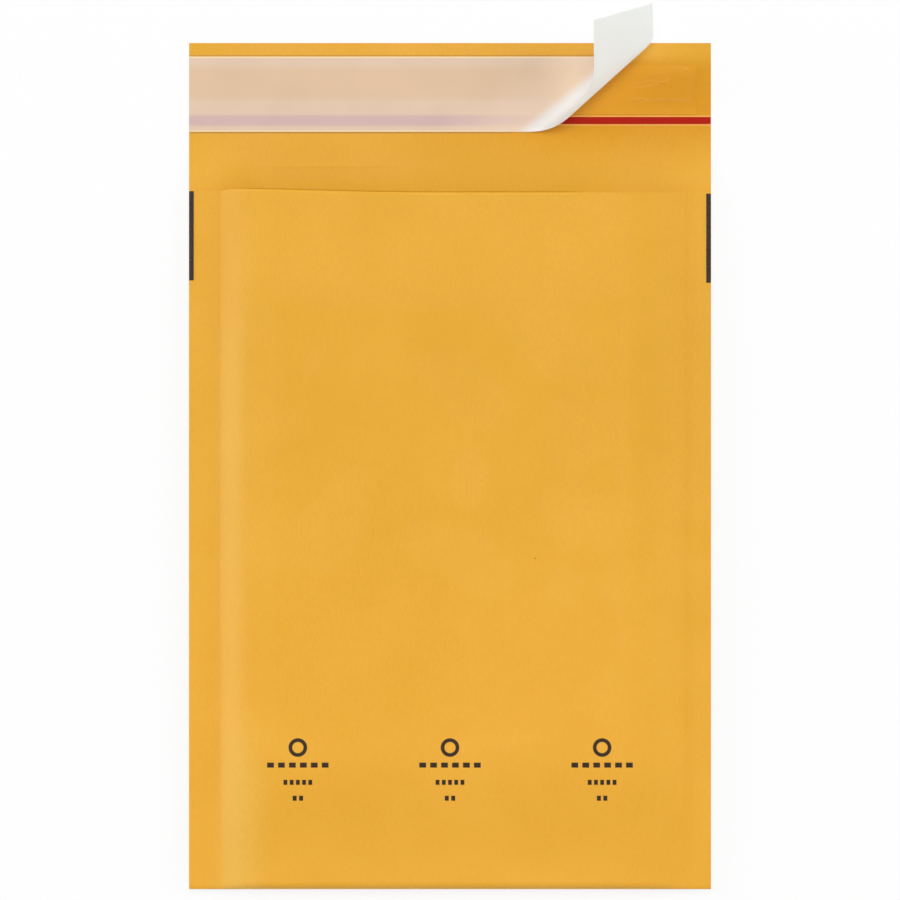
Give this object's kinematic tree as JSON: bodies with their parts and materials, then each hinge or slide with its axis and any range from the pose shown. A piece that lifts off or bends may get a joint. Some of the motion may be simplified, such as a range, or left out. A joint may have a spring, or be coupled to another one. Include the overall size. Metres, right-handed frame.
{
  "type": "padded envelope",
  "caption": "Padded paper envelope with a bubble film lining, lying on its back with the flap open and the release strip part peeled from its glue band.",
  "frame": {"origin": "middle of the back panel's flat underside, on the surface that the envelope lies on", "axes": "+X to the envelope's right seen from the front, +Y from the bottom fold towards the flap, +Z out of the front panel, away from the surface"},
  "size_m": [0.1544, 0.2623, 0.0241],
  "materials": {
    "brown_paper": "golden brown wrapping paper, smooth and matte",
    "bubble_film": "clear polyethylene bubble film",
    "hot_melt_glue": "clear hot-melt glue on brown paper, slightly glossy",
    "release_paper": "translucent silicone-coated release paper",
    "red_tape": "red plastic tear tape, satin",
    "dark_ink": "dark brown printing ink, matte"
  },
  "bodies": {
    "root": {"outer_wrap": "brown_paper", "bubble_lining": "bubble_film", "adhesive_strip": "hot_melt_glue", "release_liner": "release_paper", "tear_tape": "red_tape", "eye_mark_left": "dark_ink", "eye_mark_right": "dark_ink"}
  },
  "joints": []
}
